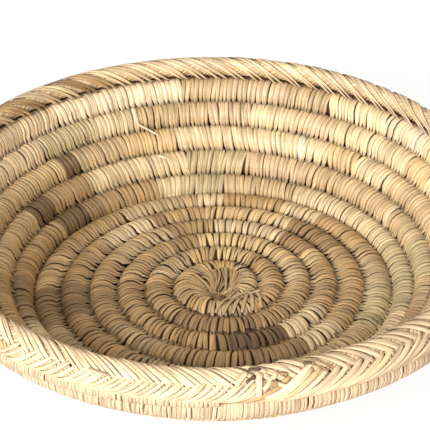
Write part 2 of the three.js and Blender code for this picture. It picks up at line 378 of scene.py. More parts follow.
# A rope through places, its thickness following its radii
def ropePiece(name, places, radii, material):
    bpy.ops.object.select_all(action="DESELECT")
    curve = bpy.data.curves.new(name, "CURVE")
    curve.dimensions = "3D"
    curve.bevel_depth = 1.0
    curve.bevel_resolution = 2
    curve.use_fill_caps = True
    line = curve.splines.new("POLY")
    line.points.add(len(places) - 1)
    for point, place, radius in zip(line.points, places, radii):
        point.co = (*place, 1)
        point.radius = radius
    rope = bpy.data.objects.new(name, curve)
    scene.collection.objects.link(rope)
    rope.select_set(True)
    bpy.context.view_layer.objects.active = rope
    bpy.ops.object.convert(target="MESH")
    rope = bpy.context.object
    rope.data.materials.clear()
    rope.data.materials.append(material)
    bpy.ops.object.shade_smooth()
    return rope


# The steps of the spiral where the solid model's stretches begin and end
stepAngle = fullTurn / coil["stepsPerTurn"]
firstStep = round(coil["startTurn"] * coil["stepsPerTurn"])
tailStep = round(coil["tailTurn"] * coil["stepsPerTurn"])
lastStep = round(coil["endTurn"] * coil["stepsPerTurn"])
footStep = round((bowl["flatRun"] - grooveRun(0) + coil["pitch"] / 2) / coil["pitch"] * coil["stepsPerTurn"])


def stretches(name, first, last, count):
    edges = [first + math.floor((last - first) * i / count + 0.5) for i in range(count + 1)]
    return [(f"{name}_{i + 1:02d}", edges[i] * stepAngle, edges[i + 1] * stepAngle) for i in range(count)]


wrapNodes = (
    stretches("floor_wrap", firstStep, footStep, coil["floorWraps"])
    + stretches("wall_wrap", footStep, tailStep, coil["wallWraps"])
    + stretches("tail_wrap", tailStep, lastStep, 1)
)

stitch = {
    "width": 2.9 * mm,
    "reach": 8.6 * mm,  # from the coil's middle to the stitch's face
    "crown": 0.5 * mm,
    "crownSpread": (0.7, 1.2),
    "topShare": 0.7,
    "rows": 18,
    "bow": 0.3 * mm,
    "pierceSpread": (-9, 9),  # degrees by which stitches go in higher or lower
    "narrowest": 0.6,
    "middleWidth": (0.8, 1),  # from the middle of the floor out to this reach
    "middleReach": 40 * mm,
    # a strip of leaf makes many stitches that are alike
    "runWidth": (0.8, 1.3),
    "runShade": (0.94, 1.04),
    "runLean": 0.1,  # along the coil, as a share of its height
    # pairs: on the floor and at the rim, changing from one reach on and over the next
    "climbFrom": 50 * mm,
    "climbOver": 90 * mm,
    "widthSpread": (0.34, 0.22),
    "shadeSpread": (0.19, 0.11),
    "leanJitter": (0.07, 0.03),
    "liftSpread": (0.3 * mm, 0.12 * mm),
    "gapShare": (0.5, 0.12),  # how many stitches stand a little off the next
    "paintedEdgeShade": (0.17, 0.5),  # painted shade along the strips' edges, in the gaps between them
    "rimFill": 0.05,
    # pairs: at the front and sides, and at the back
    "gapWidth": (0.3, 0.14),  # as a share of the stitch's width
    "backEdges": (0.68, 1.4),  # light falls on the edges at the back
    "meanShade": 0.98,
    "backShade": 0.93,  # the top of the back wall faces the light
    "frontShade": 1.09,  # and the front's inside lies in its own shadow
    "liftRange": (-1, 0.7),
    "gapRange": (0.4, 1),
    "edgeSpread": (0.8, 1.3),
    # finer and more even stitches on the band under the front border
    "bandWidthShare": 0.7,
    # painted shade at the band stitches' edges: faint on most, dark on a few
    "bandEdges": (0.86, 0.35),
    "bandEven": 0.85,
    # where the first stitches meet in the knot, from turn to turn, and how
    "fanTurns": [(-1, 0.06), (0.42, 0.7)],
    "fanEnds": (0.62, 0.8),  # as a share of the way to the knot
    "fanHeight": 0.4 * mm,
    "fanBulge": 1.2 * mm,
    "fanDip": 3 * mm,
    "fanTuck": 0.8 * mm,
    "fanTail": (0.3, 0.3),  # width, and painted shade, where they go down into the knot
}

# The stitch's way round the coil's section: degrees from the outer groove over the top, width, shade; the
# shade is painted shade, darker where the stitch goes down into a groove
overMarks = [(-30, 0.5, 0.3), (-8, 0.6, 0.45), (12, 0.76, 0.72), (30, 0.95, 1), (52, 1.02, 1),
             (76, 1.02, 1), (100, 1.02, 1), (122, 1, 1), (138, 0.92, 0.97)]
crestRow = 6  # the mark at 100 degrees
# then over the groove and down through the coil before: degrees, share of its half width, width, shade, here
# dark as painted shade in the hole it goes through
throughMarks = [(34, 1.04, 0.64, 0.42), (20, 0.84, 0.9, 0.25), (0, 0.7, 1, 0.2), (-30, 0.86, 0.9, 0.25)]
# or from its crest to the knot: share of the way, width, shade; the shade is painted, darker towards the
# knot, as shade where the strips go down
fanMarks = [(0.3, 0.76, 1), (0.6, 0.52, 0.95), (0.85, 0.36, 0.85), (1, 0.26, 0.6)]
# and back under its own coil
underMarks = [(-162, 0.55, 0.5), (-146, 0.8, 0.85), (-118, 1, 1), (-90, 1.02, 1), (-60, 1, 1),
              (-32, 0.7, 0.5)]

# The last coil has no coil beyond it, so its stitches close under the basket's edge
rimOverMarks = [(-100, 1.1, 1), (-70, 1.1, 1), (-40, 1.1, 1), (-10, 1.1, 1), (20, 1.1, 1),
                (50, 1.05, 1), (76, 1.02, 1), (106, 1.02, 1), (138, 0.92, 0.97)]
rimUnderMarks = [(-162, 0.55, 0.5), (-150, 0.75, 0.8), (-138, 0.95, 1), (-126, 1.05, 1),
                 (-114, 1.1, 1), (-98, 1.1, 1)]

# Where the spiral starts, beside its middle, and the strips knotted next to it
knot = {
    "place": (-2.9 * mm, -16.4 * mm),
    "top": 5.6 * mm,
    # layers of first wraps: from and to these sides, how many, height in mm, how far they swirl, shade; the
    # lowest layer is painted darker, as shade under the other two
    "layers": [(0, 345, 26, -1.0, 0.25, 0.7), (102, 160, 7, 0.3, 0.4, 1.0), (24, 92, 7, 0.6, -1.0, 1.0)],
    "edge": [(15 * mm, 4.4 * mm), (13.4 * mm, 7 * mm)],  # reach and height where they leave the first coil
    "sideJitter": 0.2,
    "heightJitter": 0.4,
    "endSpread": (0.7, 1.2),
    "bulge": 2.4 * mm,  # how far they bow sideways
    "bulgeSpread": (0.6, 1.2),
    "bulgeLift": 1.6 * mm,
    "bulgeShares": (0.3, 0.55, 0.8),
    "wrapWidth": (2.2 * mm, 2.9 * mm),
    "wrapTaper": 0.6,
    "wrapTones": ["tan", "tan", "beige"],
    "wrapShade": (0.8, 1.1),
    # painted shade along the wraps' edges
    "wrapEdge": 0.15,
    # the tangle of fibres between them
    "fibres": 90,
    "fibreReach": 5.8 * mm,
    "fibreLength": (0.6, 1),
    "fibreAcross": (-0.8, 0.8),
    "fibreHeight": (-1 * mm, 1.6 * mm),
    "fibreDrop": 2.4 * mm,
    "fibreWidth": (0.6 * mm, 1.2 * mm),
    "fibreTones": ["brown", "dark", "tan"],
    "fibreShade": 0.7,
    # painted shade along the fibres' edges
    "fibreEdge": 0.5,
    # the knotted strips, in mm from the floor's middle: legs over the first coil, then two that run over them
    "legs": [[(5.8, -14.5), (2.4, -21), (-4.8, -33)], [(9, -14.5), (6, -22), (0.2, -33.5)],
             [(11.5, -15), (9.4, -22), (5.2, -33.8)], [(14, -14), (13.4, -22), (10.8, -33)],
             [(16.5, -13), (17.2, -21), (17, -31)], [(18.3, -11.5), (21.6, -19), (22.7, -28.5)]],
    "runners": [[(2.1, -21), (5.2, -13.6), (10.8, -9), (19, -9.4)],
                [(3.8, -22), (8, -15.6), (14.6, -12.6), (22.4, -14.6)]],
    "legLift": 0.4 * mm,
    "runnerLift": 1 * mm,
    "stripWidth": 2.7 * mm,
    "stripTaper": 0.15,
    "stripShade": (0.86, 1.06),
    # painted shade along the strips' edges
    "stripEdge": 0.2,
    "stripMarks": 10,
    # a dark plate below it all, painted shade under the strips of the knot
    "seatRadius": 17 * mm,
    "seatThickness": 3 * mm,
}


def floorPoint(x, y, height):
    return surfaceFrame(0.0, 0.0)["centre"] + Vector((x, y, height - coil["drop"]))


# Turns a stitch in to the knot from the top of its coil
def fanIn(path, at, width, crown):
    crest = path[crestRow][0]
    knotTop = floorPoint(*knot["place"], knot["top"])
    way = (knotTop - crest).normalized()
    aside = way.cross(Vector((0, 0, 1))).normalized()
    if aside.dot(at["round"]) < 0:
        aside = -aside
    end = random.uniform(*stitch["fanEnds"])
    high = random.uniform(-1, 1) * stitch["fanHeight"]
    for row, (share, widthShare, shade) in enumerate(fanMarks, crestRow + 1):
        bulge = stitch["fanBulge"] * math.sin(math.pi * share)
        place = crest.lerp(knotTop, share * end) + Vector((0, 0, high * share + bulge))
        path[row] = (place, aside, Vector((0, 0, 1)), width * widthShare, crown, shade)
    tailShare, tailShade = stitch["fanTail"]
    tailRow = crestRow + 1 + len(fanMarks)
    for row in (tailRow, tailRow + 1):
        place = place - Vector((0, 0, stitch["fanDip"])) + way * stitch["fanTuck"]
        path[row] = (place, aside, way, width * tailShare, crown, tailShade)


def stitchPath(angle, width, lean, lift):
    at = coilFrame(angle)
    half = at["half"] / (fullWidth / 2) * stitch["reach"]
    bow = random.gauss(0, stitch["bow"])
    crown = stitch["crown"] * random.uniform(*stitch["crownSpread"])
    prior = coilFrame(angle - fullTurn)
    depth = prior["half"]
    if angle / fullTurn < 1 + coil["startTurn"]:  # before the first coil there is only the curl
        prior = surfaceFrame(0.0, angle % fullTurn)
        prior["centre"] -= prior["up"] * coil["drop"]
        depth = coil["curlRadius"]
    onRim = angle > (coil["tailTurn"] - 1) * fullTurn
    marks = [(at, half, *mark) for mark in (rimOverMarks if onRim else overMarks)]
    marks += [(prior, depth * share, turn, *rest) for turn, share, *rest in throughMarks]
    marks += [(at, half, *mark) for mark in (rimUnderMarks if onRim else underMarks)]
    path = []
    pierce = random.uniform(*stitch["pierceSpread"])
    for mark, reach, turn, share, shade in marks:
        turn = math.radians(turn + (pierce if mark is prior else 0))
        outward = mark["along"] * math.cos(turn) + mark["up"] * math.sin(turn)
        centre = mark["centre"] + outward * (reach - crown + lift)
        sway = mark["along"].dot(centre - at["centre"]) * lean + bow * math.sin(turn)
        spread = 1 + at["along"].to_2d().length * (centre - at["centre"]).dot(at["along"]) / at["reach"]
        spread = max(spread, stitch["narrowest"])  # narrower towards the middle of the bowl
        path.append((centre + at["round"] * sway, at["round"], outward, width * share * spread, crown, shade))
    bridge = len(overMarks)  # flat where it crosses the groove
    path[bridge] = (*path[bridge][:2], at["up"], *path[bridge][3:])
    if any(first <= angle / fullTurn < last for first, last in stitch["fanTurns"]):
        fanIn(path, at, width, crown)
    return path


def newRun(tone):
    return {
        "tone": tone,
        "width": random.uniform(*stitch["runWidth"]),
        "lean": random.gauss(0, stitch["runLean"]),
        "shade": random.uniform(*stitch["runShade"]),
    }


# Lays one stitch and returns how far along the spiral the next one starts
def layStitch(pile, strand, angle, run):
    at = coilFrame(angle)
    up = clampShare((at["reach"] - stitch["climbFrom"]) / stitch["climbOver"])
    back = clampShare(math.sin(angle))
    width = stitch["width"] * run["width"] * (1 + random.uniform(-1, 1) * between(stitch["widthSpread"], up))
    width *= between(stitch["middleWidth"], clampShare(at["reach"] / stitch["middleReach"]))
    edge = between(stitch["paintedEdgeShade"], up) * random.uniform(*stitch["edgeSpread"])
    edge *= between(stitch["backEdges"], back)
    if run["tone"] == "band":
        width *= stitch["bandWidthShare"]
        edge = stitch["bandEdges"][0 if random.random() < stitch["bandEven"] else 1]
    step = width / at["reach"]
    if random.random() < between(stitch["gapShare"], up):
        step *= 1 + between(stitch["gapWidth"], back) * random.uniform(*stitch["gapRange"])
    shade = run["shade"] * (stitch["meanShade"] + random.uniform(-1, 1) * between(stitch["shadeSpread"], up))
    shade *= between((1, stitch["backShade"]), back * up)
    shade *= between((1, stitch["frontShade"]), clampShare(-math.sin(angle)))
    lean = run["lean"] + random.gauss(0, between(stitch["leanJitter"], up))
    lift = random.uniform(*stitch["liftRange"]) * between(stitch["liftSpread"], up)
    path = stitchPath(angle + step / 2, width * (1 + stitch["rimFill"] * up), lean, lift)
    pile.lay(strand, path, toneColor(run["tone"], shade), edge)
    return step


def stitchPieces(leaf):
    random.seed(11)
    strand = strandModel(stitch["rows"], stitch["topShare"])
    pieces = []
    run = None
    for node, first, last in wrapNodes:
        pile = StrandPile()
        angle = first
        while angle < last:
            tone = toneAt(angle)
            if run is None or tone != run["tone"]:  # the next strip of leaf takes over
                run = newRun(tone)
            angle += layStitch(pile, strand, angle, run)
        made = pile.piece(node + "_leaf", leaf)
        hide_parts(node)
        pieces.append(made)
    return pieces


# The herringbone plait over the rim: slanting legs that meet along its crest, over rungs that cross them
plait = {
    # pairs: where the plait is open, where it is closed
    "spacing": (13.6 * mm, 10.4 * mm),
    "legWidth": (5.0 * mm, 6.8 * mm),
    "legStrands": (2, 3),
    # sides in degrees: from where it closes, over how much, and the same for where it opens
    "closes": (238, 14),
    "opens": (274, 5),
    # radians past the join: where it is loose, where it starts to tighten, over how much
    "looseFrom": 0.05,
    "looseUntil": 0.75,
    "looseEnds": 0.45,
    "looseHeight": 1.0 * mm,
    "looseWidth": 0.3,
    "looseTravel": 0.6,
    "slant": math.radians(35.5),
    "rows": 14,
    "strandDrop": 0.12 * mm,
    "strandCrown": 0.42 * mm,
    "topShare": 0.8,
    # painted shade along the legs' edges, in the gaps between them
    "paintedEdgeShade": 0.34,
    "edgeSpread": (0.7, 1.4),
    "taper": (0.5, 0.3, 8, 5),  # least width, width at the start, how fast it widens and narrows
    "legLift": 0.2 * mm,
    "legJitter": 0.08,
    "legShade": (0.92, 1.04),
    # at the back the legs' shade reaches lower: more varied, and darker on the whole as painted shade against
    # the light that falls full on the border there
    "legBackShade": 0.1,
    "strandWidth": (0.85, 1.1),
    "strandShade": (0.9, 1.05),
    "strandEnd": (0.97, 1.02),
    "tuck": (0.9 * mm, 0.12),  # how deep a leg starts, and over which share of it
    "innerRise": 0.5 * mm,  # how high the legs end
    "outerRise": -0.6 * mm,
    "endShare": 0.15,
    "innerEnd": math.radians(190),  # turns are measured from the middle of the band's face
    "tipReach": (1.4 * mm, 3.2 * mm),  # from there the leg lies down on the last coil
    "tipDrop": 0.28,
    "tipShares": (1, 0.6, 0.25),
    "outerEnd": math.radians(-112),
    "innerTravel": 40 * mm,
    "outerTravel": 30 * mm,
    "outerEase": 1.7,  # the outer legs come to run along the rim
    "overlap": math.radians(14),  # how far a leg reaches past the middle
    "rungInnerEnd": math.radians(192),
    "rungTravel": 0.7,
    "rungSpacing": 3.1 * mm,
    "rungWidth": 2.7 * mm,
    "rungWidths": (0.75, 1.05),
    "rungCrown": 0.4 * mm,
    # painted shade along the rungs' edges
    "rungEdgeShade": 0.5,
    "rungDepth": 0.8 * mm,
    "rungDepthSpread": 0.3 * mm,
    "rungTones": ["border", "straw", "gold"],
    # the rungs lie under the legs and are painted darker, as shade in that recess
    "rungShade": (0.8, 0.95),
    "tones": ["border", "border", "border", "straw"],
    # stains: from side to side in degrees, tones that half of the legs take there
    "stains": [(124, 152, ["tan", "beige", "brown"]), (283, 292, ["beige", "tan"])],
    "stainShare": 0.5,
    # what it is laid over
    "coreSteps": 12,
    "coreInset": 5.4 * mm,
    "coreRadius": 4 * mm,
    "seatDrop": 6.6 * mm,
    "seatSetIn": 0.6 * mm,
    "seatRadius": 2 * mm,
}


# How closely the strips lie, from 0 to 1: they fill the front of the rim on the left of the join
def plaitClosed(angle):
    side = math.degrees(angle % fullTurn)
    closes, closesOver = plait["closes"]
    opens, opensOver = plait["opens"]
    return smoothShare((side - closes) / closesOver) * (1 - smoothShare((side - opens) / opensOver))


# How open and wide the plait is, from 0 to 1: it loosens on the right of its join
def plaitLooseness(angle):
    past = (angle - border["join"]) % fullTurn
    tightening = smoothShare((past - plait["looseUntil"]) / plait["looseEnds"])
    return smoothShare(past / plait["looseFrom"]) * (1 - tightening)


def plaitPoint(angle, turn, lift):
    at = borderFrame(angle)
    halfWidth = border["halfWidth"] + plait["looseHeight"] * plaitLooseness(angle)
    halfThickness = border["halfThickness"]
    outward = at["face"] * math.cos(turn) / halfThickness + at["width"] * math.sin(turn) / halfWidth
    outward.normalize()
    place = at["centre"] + at["face"] * halfThickness * math.cos(turn)
    place += at["width"] * halfWidth * math.sin(turn)
    return place + outward * lift, outward


# Places along a strip that runs over the plait, as rows for the strand
def plaitPath(fromAngle, fromTurn, toAngle, toTurn, width, crown, liftAt, rows):
    ease = plait["outerEase"] if toTurn < 0 else 1
    least, startWidth, widens, narrows = plait["taper"]
    points = []
    for i in range(rows + 1):
        share = i / rows
        turn = fromTurn + (toTurn - fromTurn) * (1 - (1 - share) ** ease)
        points.append(plaitPoint(fromAngle + (toAngle - fromAngle) * share, turn, liftAt(share)))
    path = []
    for i, (centre, outward) in enumerate(points):
        travel = points[min(i + 1, rows)][0] - points[max(i - 1, 0)][0]
        taper = least + (1 - least) * min(1, startWidth + widens * i / rows, narrows * (rows - i) / rows)
        path.append((centre, travel.cross(outward).normalized(), outward, width * taper, crown, 1))
    return path


# The border's tone at a side: it has a brown stretch at the back on the left
def borderTone(angle):
    side = math.degrees(angle % fullTurn)
    for first, last, tones in plait["stains"]:
        if first < side < last and random.random() < plait["stainShare"]:
            return random.choice(tones)
    return random.choice(plait["tones"])


# Brings the end of an inner leg down onto the last coil
def layDown(path, angle, tip):
    at = borderFrame(angle)
    inward = at["along"] + at["up"] * plait["tipDrop"]
    for back, share in enumerate(plait["tipShares"], 1):
        place, *rest = path[-back]
        path[-back] = (place - inward * tip * share, *rest)


def layLeg(pile, strand, angle, toTurn, travel):
    reach = borderFrame(angle)["centre"].to_2d().length
    past = -math.copysign(plait["overlap"], toTurn)
    lift = random.uniform(-1, 1) * plait["legLift"]
    tone = borderTone(angle)
    darkest, lightest = plait["legShade"]
    shade = random.uniform(darkest - plait["legBackShade"] * clampShare(math.sin(angle)), lightest)
    tuckDepth, tuckShare = plait["tuck"]

    def liftAt(share):
        tucked = tuckDepth * (1 - smoothShare(share / tuckShare))
        rise = plait["innerRise"] if toTurn > 0 else plait["outerRise"]
        ending = rise * smoothShare((share - 1 + plait["endShare"]) / plait["endShare"])
        return lift + ending - tucked

    closed = plaitClosed(angle)
    count = plait["legStrands"][1 if closed > 0.5 else 0]
    widening = 1 + plait["looseWidth"] * plaitLooseness(angle)
    strandWidth = between(plait["legWidth"], closed) * widening / count
    for i in range(count):
        width = strandWidth * random.uniform(*plait["strandWidth"])
        start = angle + i * strandWidth / math.sin(plait["slant"]) / reach
        color = toneColor(tone, shade * random.uniform(*plait["strandShade"]))
        end = toTurn * random.uniform(*plait["strandEnd"])
        path = plaitPath(start, past, start - travel / reach, end, width, plait["strandCrown"],
                         lambda share: liftAt(share) - i * plait["strandDrop"], plait["rows"])
        if toTurn > 0:
            layDown(path, start - travel / reach, random.uniform(*plait["tipReach"]))
        pile.lay(strand, path, color, plait["paintedEdgeShade"] * random.uniform(*plait["edgeSpread"]))


def layRung(pile, strand, angle, toTurn, travel):
    reach = borderFrame(angle)["centre"].to_2d().length
    width = plait["rungWidth"] * random.uniform(*plait["rungWidths"])
    color = toneColor(random.choice(plait["rungTones"]), random.uniform(*plait["rungShade"]))
    depth = plait["rungDepth"] + random.uniform(0, plait["rungDepthSpread"])
    path = plaitPath(angle, 0, angle + travel / reach, toTurn, width, plait["rungCrown"],
                     lambda share: -depth, plait["rows"])
    pile.lay(strand, path, color, plait["rungEdgeShade"])


# Strips laid one by one where the plait's ends meet: (side, turn) to (side, turn) in degrees,
# then width and lift in mm, tone and shade
joinStrips = [
    ((274.4, 75), (278.8, 35), 3.0, 0.7, "border", 1.0),
    ((277.2, 85), (283.1, 19), 3.1, 0.6, "border", 1.02),
    ((280.8, 88), (285.7, 33), 3.0, 0.5, "border", 0.97),
    # a dark strip, painted shade standing for a hole between the strips
    ((275.4, 50), (277.8, 45), 2.2, 1.3, "dark", 0.6),
    ((278.9, 0), (280.4, -9), 3.8, 1.25, "brown", 0.9),
    ((281.0, 21), (282.3, 16), 2.1, 1.2, "brown", 0.85),
    ((278.4, 17), (282.2, -18), 2.6, 0.9, "border", 0.95),
    ((277.7, -23), (280.5, 29), 2.7, 1.0, "border", 1.03),
    ((273.0, -2), (275.2, 42), 3.2, 1.1, "border", 0.96),
    ((276.6, 40), (277.8, 14), 2.8, 1.0, "border", 0.92),
    # a dark strip, painted shade standing for a slit between the strips
    ((274.9, 4), (276.6, 24), 2.2, 1.15, "dark", 0.55),
    ((274.8, -8), (276.3, 12), 1.4, 1.3, "cream", 0.95),
    ((277.2, 30), (276.8, -46), 3.3, 1.2, "border", 1.0),
    ((278.0, -60), (287.5, 41), 2.6, 1.0, "cream", 1.04),
    ((279.5, -62), (286.9, 22), 2.8, 0.9, "border", 1.0),
    ((281.2, -64), (288.4, 18), 2.8, 0.8, "beige", 1.0),
    ((283.0, -66), (289.9, 14), 2.9, 0.7, "border", 0.98),
    ((285.4, 44), (287.2, 35), 2.0, 0.8, "dark", 0.8),
    ((288.6, 12), (289.6, 3), 1.8, 0.9, "brown", 0.8),
    ((247.2, 6), (251.4, -1), 1.8, 0.6, "pink", 0.8),
]
joinDip = 0.7 * mm  # how far their ends go down
joinDipShare = 0.15  # over which share of them


def layJoin(pile, strand):
    for start, end, width, lift, tone, shade in joinStrips:
        startSide, startTurn, endSide, endTurn = [math.radians(value) for value in (*start, *end)]

        def liftAt(share):
            starting = joinDip * (1 - smoothShare(share / joinDipShare))
            ending = joinDip * smoothShare((share - 1 + joinDipShare) / joinDipShare)
            return lift * mm - starting - ending

        path = plaitPath(startSide, startTurn, endSide, endTurn, width * mm, plait["strandCrown"],
                         liftAt, plait["rows"])
        pile.lay(strand, path, toneColor(tone, shade), plait["paintedEdgeShade"])


# The ropes that a section of the plait is laid over: two cores, and a dark seat on the last coil, painted
# shade under the legs
def borderRopes(name, first, span, core, ribs):
    steps = plait["coreSteps"]
    frames = [borderFrame(first + span * i / steps) for i in range(steps + 1)]
    ropes = []
    offset = border["halfWidth"] - plait["coreInset"]
    for side, label in ((-1, "_lower_core"), (1, "_upper_core")):
        places = [at["centre"] + at["width"] * side * offset for at in frames]
        ropes.append(ropePiece(name + label, places, [plait["coreRadius"]] * len(places), core))
    places = [at["centre"] - at["up"] * plait["seatDrop"] - at["along"] * plait["seatSetIn"] for at in frames]
    ropes.append(ropePiece(name + "_shade_seat", places, [plait["seatRadius"]] * len(places), ribs))
    return ropes


def borderPieces(leaf, core, ribs):
    random.seed(23)
    strand = strandModel(plait["rows"], plait["topShare"])
    pieces = []
    span = fullTurn / border["sections"]
    for index in range(border["sections"]):
        first = border["join"] + index * span
        name = f"border_plait_{index + 1}"
        pieces += borderRopes(name, first, span, core, ribs)
        pile = StrandPile()
        reach = borderFrame(first)["centre"].to_2d().length
        rungs = round(span * reach / plait["rungSpacing"])
        legs = round(span * reach / between(plait["spacing"], plaitClosed(first + span / 2)))
        for i in range(rungs):
            angle = first + span * i / rungs
            layRung(pile, strand, angle, plait["rungInnerEnd"], plait["innerTravel"] * plait["rungTravel"])
            layRung(pile, strand, angle, plait["outerEnd"], plait["outerTravel"] * plait["rungTravel"])
        for i in range(legs):
            angle = first + span * (i + 0.5 + random.uniform(-1, 1) * plait["legJitter"]) / legs
            outerTravel = plait["outerTravel"] * (1 + plait["looseTravel"] * plaitLooseness(angle))
            layLeg(pile, strand, angle, plait["innerEnd"], plait["innerTravel"])
            layLeg(pile, strand, angle + 0.5 * span / legs, plait["outerEnd"], outerTravel)
        if index == 0:
            layJoin(pile, strand)
        made = pile.piece(name + "_leaf", leaf)
        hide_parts(name)
        pieces.append(made)
    return pieces


# The bundle of ribs inside the wraps, and a rope along the grooves; both are dark, painted shade seen where
# the wraps part
bundle = {
    "inset": 0.45 * mm,
    "grooveDrop": 0.8 * mm,
    "grooveRadius": 1.7 * mm,
}


def bundlePieces(material):
    frames = [coilFrame(step * stepAngle / 2) for step in range(firstStep * 2, lastStep * 2 + 1)]
    radii = [at["half"] - bundle["inset"] for at in frames]
    made = ropePiece("foundation_bundle_ribs", [at["centre"] for at in frames], radii, material)
    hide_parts("foundation_bundle")
    places = []
    for step in range(0, tailStep * 2 - coil["stepsPerTurn"] * 2):
        at = surfaceFrame(grooveRun(step * stepAngle / 2), step * stepAngle / 2)
        places.append(at["centre"] - at["up"] * (coil["drop"] + bundle["grooveDrop"]))
    groove = ropePiece("foundation_groove_shade", places, [bundle["grooveRadius"]] * len(places), material)
    return [made, groove]


# A strip through a few places on the floor, seen from above
def layFloorStrip(pile, strand, places, width, taper, color, paintedEdgeShade):
    path = []
    rows = stitch["rows"]
    for row in range(rows + 1):
        share = row / rows * (len(places) - 1)
        i = min(int(share), len(places) - 2)
        way = places[i + 1] - places[i]
        aside = way.cross(Vector((0, 0, 1))).normalized()
        place = places[i].lerp(places[i + 1], share - i)
        outward = aside.cross(way).normalized()
        path.append((place, aside, outward, width * (1 - taper * row / rows), stitch["crown"], 1))
    pile.lay(strand, path, color, paintedEdgeShade)


# How high the first coil's wraps reach above the floor's middle plane at a point, or the knot beside them
def firstCoilTop(x, y):
    angle = math.atan2(y, x) % fullTurn
    off = math.hypot(x, y) - grooveRun(angle) + coil["pitch"] / 2
    return max(math.sqrt(max(stitch["reach"] ** 2 - off ** 2, 0)), knot["top"])


# The spiral's first wraps, which meet around the knot
def layFirstWraps(pile, strand):
    for first, last, count, height, swirl, shade in knot["layers"]:
        for i in range(count):
            jitter = random.uniform(-1, 1) * knot["sideJitter"]
            side = math.radians(first + (last - first) * (i + jitter) / (count - 1))
            lift = (height + random.uniform(-1, 1) * knot["heightJitter"]) * mm
            places = [floorPoint(reach * math.cos(side), reach * math.sin(side), high + lift)
                      for reach, high in knot["edge"]]
            coilEdge = places[-1]
            centre = floorPoint(*knot["place"], knot["top"] + lift)
            back = (coilEdge - centre).to_2d().normalized()
            back *= random.uniform(*knot["endSpread"]) * knot["fibreReach"]
            back.rotate(Matrix.Rotation(swirl, 2))
            end = centre + Vector((back.x, back.y, 0))
            aside = Vector((back.y, -back.x, 0)).normalized()
            aside *= knot["bulge"] * random.uniform(*knot["bulgeSpread"])
            aside.z = knot["bulgeLift"]
            for share in knot["bulgeShares"]:
                places.append(coilEdge.lerp(end, share) + aside * math.sin(math.pi * share))
            places.append(end)
            width = random.uniform(*knot["wrapWidth"])
            tone = random.choice(knot["wrapTones"])
            color = toneColor(tone, shade * random.uniform(*knot["wrapShade"]))
            layFloorStrip(pile, strand, places, width, knot["wrapTaper"], color, knot["wrapEdge"])


def layTangle(pile, strand):
    down = Vector((0, 0, -knot["fibreDrop"]))
    x, y = knot["place"]
    for _ in range(knot["fibres"]):
        side = random.uniform(0, fullTurn)
        out = Vector((math.cos(side), math.sin(side), 0)) * random.uniform(*knot["fibreLength"])
        out *= knot["fibreReach"]
        across = Vector((-out.y, out.x, 0)) * random.uniform(*knot["fibreAcross"])
        middle = floorPoint(x, y, knot["top"] + random.uniform(*knot["fibreHeight"])) + across
        places = [middle - out + down, middle, middle + out + down]
        width = random.uniform(*knot["fibreWidth"])
        color = toneColor(random.choice(knot["fibreTones"]), knot["fibreShade"])
        layFloorStrip(pile, strand, places, width, 0, color, knot["fibreEdge"])


def layKnotStrip(pile, strand, route, lift):
    places = []
    last = knot["stripMarks"] - 1
    for i in range(last + 1):
        share = i / last * (len(route) - 1)
        j = min(int(share), len(route) - 2)
        x, y = (Vector(route[j]) * mm).lerp(Vector(route[j + 1]) * mm, share - j)
        places.append(floorPoint(x, y, firstCoilTop(x, y) + lift))
    color = toneColor("beige", random.uniform(*knot["stripShade"]))
    layFloorStrip(pile, strand, places, knot["stripWidth"], knot["stripTaper"], color, knot["stripEdge"])


# The curl where the spiral starts, with the tangle and the strips knotted beside it
def curlPieces(leaf, ribs):
    strand = strandModel(stitch["rows"], stitch["topShare"])
    random.seed(5)
    pile = StrandPile()
    layFirstWraps(pile, strand)
    layTangle(pile, strand)
    for route in knot["legs"]:
        layKnotStrip(pile, strand, route, knot["legLift"])
    for route in knot["runners"]:
        layKnotStrip(pile, strand, route, knot["runnerLift"])
    made = pile.piece("start_curl_leaf", leaf)
    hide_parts("start_curl")
    bpy.ops.object.select_all(action="DESELECT")
    bpy.ops.mesh.primitive_cylinder_add(vertices=32, radius=knot["seatRadius"], depth=knot["seatThickness"],
                                        location=floorPoint(0, 0, 0))
    seat = bpy.context.object
    bpy.ops.object.transform_apply(location=True)
    seat.name = "start_curl_shade"
    seat.data.materials.append(ribs)
    return [made, seat]


# Two strip ends stand off the back wall: each way is (run along the slope in mm, side in degrees)
looseStrips = {
    "loose_strip_long": [(173.8, 111), (162.3, 110.8), (153.1, 106.2)],
    "loose_strip_stub": [(139, 107.4), (136, 104.3)],
}
looseStrip = {
    "rows": 12,
    "lift": 1.3 * mm,
    "width": 2.2 * mm,
    "taper": 0.6,
    "crown": 0.3 * mm,
}


def looseStripPiece(name, route, leaf):
    rows = looseStrip["rows"]
    strand = strandModel(rows, stitch["topShare"])
    marks = []
    for i in range(rows + 1):
        share = i / rows * (len(route) - 1)
        j = min(int(share), len(route) - 2)
        run = route[j][0] + (route[j + 1][0] - route[j][0]) * (share - j)
        side = math.radians(route[j][1] + (route[j + 1][1] - route[j][1]) * (share - j))
        at = surfaceFrame(run * mm, side)
        off = fullWidth / 2 - coil["drop"] + looseStrip["lift"]
        marks.append((at["centre"] + at["up"] * off, at["up"]))
    path = []
    for i, (centre, up) in enumerate(marks):
        way = (marks[min(i + 1, rows)][0] - marks[max(i - 1, 0)][0]).normalized()
        width = looseStrip["width"] * (1 - looseStrip["taper"] * i / rows)
        path.append((centre, way.cross(up).normalized(), up, width, looseStrip["crown"], 1))
    pile = StrandPile()
    pile.lay(strand, path, toneColor("white"), 1)
    made = pile.piece(name + "_leaf", leaf)
    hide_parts(name)
    return made


